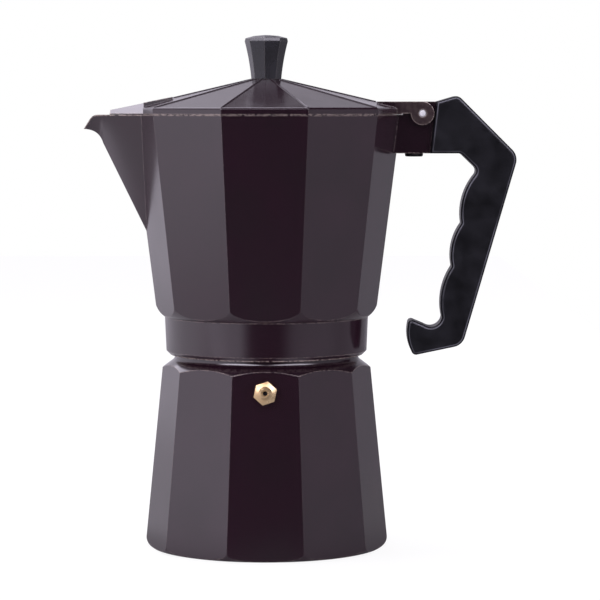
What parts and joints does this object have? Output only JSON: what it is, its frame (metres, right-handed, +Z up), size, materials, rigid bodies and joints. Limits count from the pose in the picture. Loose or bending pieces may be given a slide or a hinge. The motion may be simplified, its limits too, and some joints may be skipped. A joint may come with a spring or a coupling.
{
  "type": "moka pot",
  "caption": "Ten-sided stovetop coffee maker: tapered boiler with safety valve, flared collector with beak spout, hinged lid with knob, and a hooked handle.",
  "frame": {"origin": "centre of the boiler's base, on the surface that the pot stands on", "axes": "+Z up along the pot's axis, +X towards the handle, -Y towards the safety valve"},
  "size_m": [0.2103, 0.1254, 0.2493],
  "materials": {
    "body_coat": "gloss",
    "bare_aluminium": "satin",
    "valve_brass": "satin",
    "pin_steel": "satin",
    "screw_steel": "satin",
    "handle_plastic": "satin",
    "seal_rubber": "matte",
    "fibre": "matte"
  },
  "bodies": {
    "boiler": {"boiler": "body_coat", "valve_body": "valve_brass", "valve_washer": "fibre", "valve_seat": "valve_brass"},
    "valve_plunger": {"valve_plunger": "pin_steel", "valve_spring": "pin_steel"},
    "funnel": {"funnel": "bare_aluminium", "funnel_strainer": "bare_aluminium"},
    "seal": {"gasket": "seal_rubber", "filter_plate": "bare_aluminium"},
    "collector": {"collector": "body_coat", "riser_column": "bare_aluminium", "hinge_pin": "pin_steel", "handle": "handle_plastic", "handle_insert": "valve_brass", "handle_screw": "screw_steel"},
    "lid": {"lid": "body_coat", "knob": "handle_plastic", "knob_insert": "valve_brass", "knob_screw": "screw_steel", "knob_washer": "screw_steel"}
  },
  "joints": [
    {"name": "valve_lift", "type": "slide", "parent": "boiler", "child": "valve_plunger", "axis": [0, -0.9957, 0.0931], "range_m": [0, 0.0012], "stiffness_N_per_m": 600, "springref_m": -0.002, "deforming": ["valve_spring"]},
    {"name": "funnel_lift", "type": "slide", "parent": "boiler", "child": "funnel", "axis": [0, 0, 1], "range_m": [0, 0.11]},
    {"name": "collector_rise", "type": "slide", "parent": "funnel", "child": "seal", "axis": [0, 0, 1], "range_m": [0, 0.0075]},
    {"name": "collector_turn", "type": "hinge", "parent": "seal", "child": "collector", "pos_m": [0, 0, 0.1118], "axis": [0, 0, 1], "range_deg": [0, 900]},
    {"name": "lid_hinge", "type": "hinge", "parent": "collector", "child": "lid", "pos_m": [0.0757, 0, 0.2114], "axis": [0, 1, 0], "range_deg": [0, 97]}
  ],
  "couplings": [
    {"joint": "collector_rise", "follows": "collector_turn", "m_per_rad": 0.000477}
  ]
}
